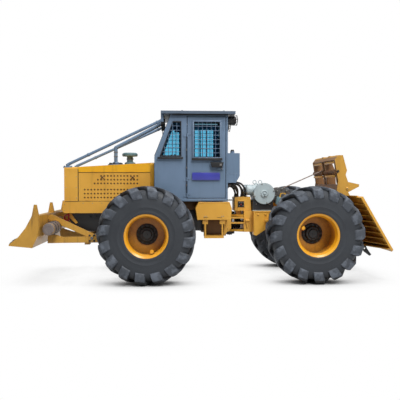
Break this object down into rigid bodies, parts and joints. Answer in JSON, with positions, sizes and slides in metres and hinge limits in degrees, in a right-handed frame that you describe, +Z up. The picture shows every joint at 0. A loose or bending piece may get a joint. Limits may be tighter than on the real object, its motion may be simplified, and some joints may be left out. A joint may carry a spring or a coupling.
{
  "type": "forestry skidder tractor",
  "caption": "Articulated log skidder with a guarded cab, push blade, winch, rope arch and ribbed butt plate on large lugged forestry wheels.",
  "frame": {"origin": "centre of the footprint box on the ground", "axes": "+X to the rear, +Y to the machine's right, +Z up"},
  "size_m": [6.283, 2.486, 2.8838],
  "materials": {
    "body_ochre": "semi-gloss, dusty",
    "hood_yellow": "semi-gloss",
    "frame_black": "satin, greasy",
    "engine_iron": "satin",
    "cab_blue": "satin",
    "cleaner_teal": "satin",
    "glass": "clear, blue tint",
    "seat_fabric": "woven",
    "console_plastic": "matte",
    "hose_rubber": "matte",
    "blade_ochre": "worn",
    "cylinder_black": "gloss",
    "rod_chrome": "polished",
    "tyre": "dusty",
    "rim_yellow": "gloss",
    "rear_ochre": "semi-gloss, worn",
    "winch_grey": "satin",
    "drum_steel": "worn",
    "rope_steel": "greasy"
  },
  "bodies": {
    "front_frame": {"front_chassis": "frame_black", "frame_crossmembers": "frame_black", "pivot_bracket": "frame_black", "side_skirts": "body_ochre", "front_axle": "frame_black", "engine_block": "engine_iron", "hood_top": "hood_yellow", "hood_sides": "body_ochre", "nose_grille": "body_ochre", "cab_shell": "cab_blue", "cab_roof": "cab_blue", "cab_glass": "glass", "operator_seat": "seat_fabric", "control_console": "console_plastic", "guard_pipes": "cab_blue", "exhaust_pipe": "cab_blue", "pre_cleaner": "cleaner_teal", "hydraulic_tank": "cab_blue", "step_boxes": "body_ochre", "work_lamps": "cab_blue", "hydraulic_hoses": "hose_rubber"},
    "rear_frame": {"rear_chassis": "rear_ochre", "rear_axle": "frame_black", "winch_housing": "winch_grey", "winch_ropes": "rope_steel", "rope_arch": "rear_ochre", "butt_plate": "rear_ochre", "drawbar_hook": "frame_black"},
    "blade_frame": {"blade": "blade_ochre", "push_arms": "blade_ochre"},
    "lift_barrels": {"lift_barrels": "cylinder_black"},
    "lift_rods": {"lift_rods": "rod_chrome"},
    "left_door": {"left_door": "cab_blue", "left_door_glass": "glass"},
    "right_door": {"right_door": "cab_blue", "right_door_glass": "glass"},
    "winch_drum": {"winch_drum": "drum_steel"},
    "fairlead_roller": {"fairlead_roller": "drum_steel"},
    "left_steering_barrel": {"left_steering_barrel": "cylinder_black"},
    "left_steering_rod": {"left_steering_rod": "rod_chrome"},
    "right_steering_barrel": {"right_steering_barrel": "cylinder_black"},
    "right_steering_rod": {"right_steering_rod": "rod_chrome"},
    "front_left_wheel": {"front_left_tyre": "tyre", "front_left_rim": "rim_yellow"},
    "front_right_wheel": {"front_right_tyre": "tyre", "front_right_rim": "rim_yellow"},
    "rear_left_wheel": {"rear_left_tyre": "tyre", "rear_left_rim": "rim_yellow"},
    "rear_right_wheel": {"rear_right_tyre": "tyre", "rear_right_rim": "rim_yellow"}
  },
  "joints": [
    {"name": "front_left_wheel_spin", "type": "hinge", "parent": "front_frame", "child": "front_left_wheel", "pos_m": [-0.9885, -0.95, 0.8025], "axis": [0, 1, 0], "continuous": true},
    {"name": "front_right_wheel_spin", "type": "hinge", "parent": "front_frame", "child": "front_right_wheel", "pos_m": [-0.9885, 0.95, 0.8025], "axis": [0, 1, 0], "continuous": true},
    {"name": "rear_left_wheel_spin", "type": "hinge", "parent": "rear_frame", "child": "rear_left_wheel", "pos_m": [1.7915, -0.95, 0.8025], "axis": [0, 1, 0], "continuous": true},
    {"name": "rear_right_wheel_spin", "type": "hinge", "parent": "rear_frame", "child": "rear_right_wheel", "pos_m": [1.7915, 0.95, 0.8025], "axis": [0, 1, 0], "continuous": true},
    {"name": "articulation", "type": "hinge", "parent": "front_frame", "child": "rear_frame", "pos_m": [0.4785, 0, 0.9], "axis": [0, 0, 1], "range_deg": [-40, 40], "deforming": ["hydraulic_hoses"]},
    {"name": "blade_lift", "type": "hinge", "parent": "front_frame", "child": "blade_frame", "pos_m": [-1.4205, 0, 0.7], "axis": [0, 1, 0], "range_deg": [-20, 12]},
    {"name": "lift_barrel_swing", "type": "hinge", "parent": "front_frame", "child": "lift_barrels", "pos_m": [-1.4705, 0, 1.04], "axis": [0, 1, 0], "range_deg": [-16.2, 10.12]},
    {"name": "lift_rod_stroke", "type": "slide", "parent": "lift_barrels", "child": "lift_rods", "axis": [-0.8367, 0, -0.5477], "range_m": [-0.066, 0.1086]},
    {"name": "left_door_hinge", "type": "hinge", "parent": "front_frame", "child": "left_door", "pos_m": [-0.3155, -0.634, 2], "axis": [0, 0, -1], "range_deg": [0, 85]},
    {"name": "left_steering_swing", "type": "hinge", "parent": "front_frame", "child": "left_steering_barrel", "pos_m": [-0.1415, -0.15, 0.99], "axis": [0, 0, 1], "range_deg": [-3.77, 3.77]},
    {"name": "left_steering_stroke", "type": "slide", "parent": "left_steering_barrel", "child": "left_steering_rod", "axis": [0.999, -0.0454, 0], "range_m": [-0.1208, 0.1208]},
    {"name": "right_door_hinge", "type": "hinge", "parent": "front_frame", "child": "right_door", "pos_m": [-0.3155, 0.634, 2], "axis": [0, 0, 1], "range_deg": [0, 85]},
    {"name": "right_steering_swing", "type": "hinge", "parent": "front_frame", "child": "right_steering_barrel", "pos_m": [-0.1415, 0.15, 0.99], "axis": [0, 0, 1], "range_deg": [-3.77, 3.77]},
    {"name": "right_steering_stroke", "type": "slide", "parent": "right_steering_barrel", "child": "right_steering_rod", "axis": [0.999, 0.0454, 0], "range_m": [-0.1208, 0.1208]},
    {"name": "winch_drum_spin", "type": "hinge", "parent": "rear_frame", "child": "winch_drum", "pos_m": [1.3915, 0, 1.428], "axis": [0, 1, 0], "continuous": true},
    {"name": "fairlead_roller_spin", "type": "hinge", "parent": "rear_frame", "child": "fairlead_roller", "pos_m": [2.2405, 0, 1.84], "axis": [0, 1, 0], "continuous": true}
  ],
  "couplings": [
    {"joint": "lift_barrel_swing", "follows": "blade_lift", "ratio": 0.7601},
    {"joint": "lift_rod_stroke", "follows": "blade_lift", "m_per_rad": -0.30553},
    {"joint": "left_steering_swing", "follows": "articulation", "ratio": 0.06936},
    {"joint": "left_steering_stroke", "follows": "articulation", "m_per_rad": 0.17015},
    {"joint": "right_steering_swing", "follows": "articulation", "ratio": 0.06936},
    {"joint": "right_steering_stroke", "follows": "articulation", "m_per_rad": -0.17015}
  ]
}
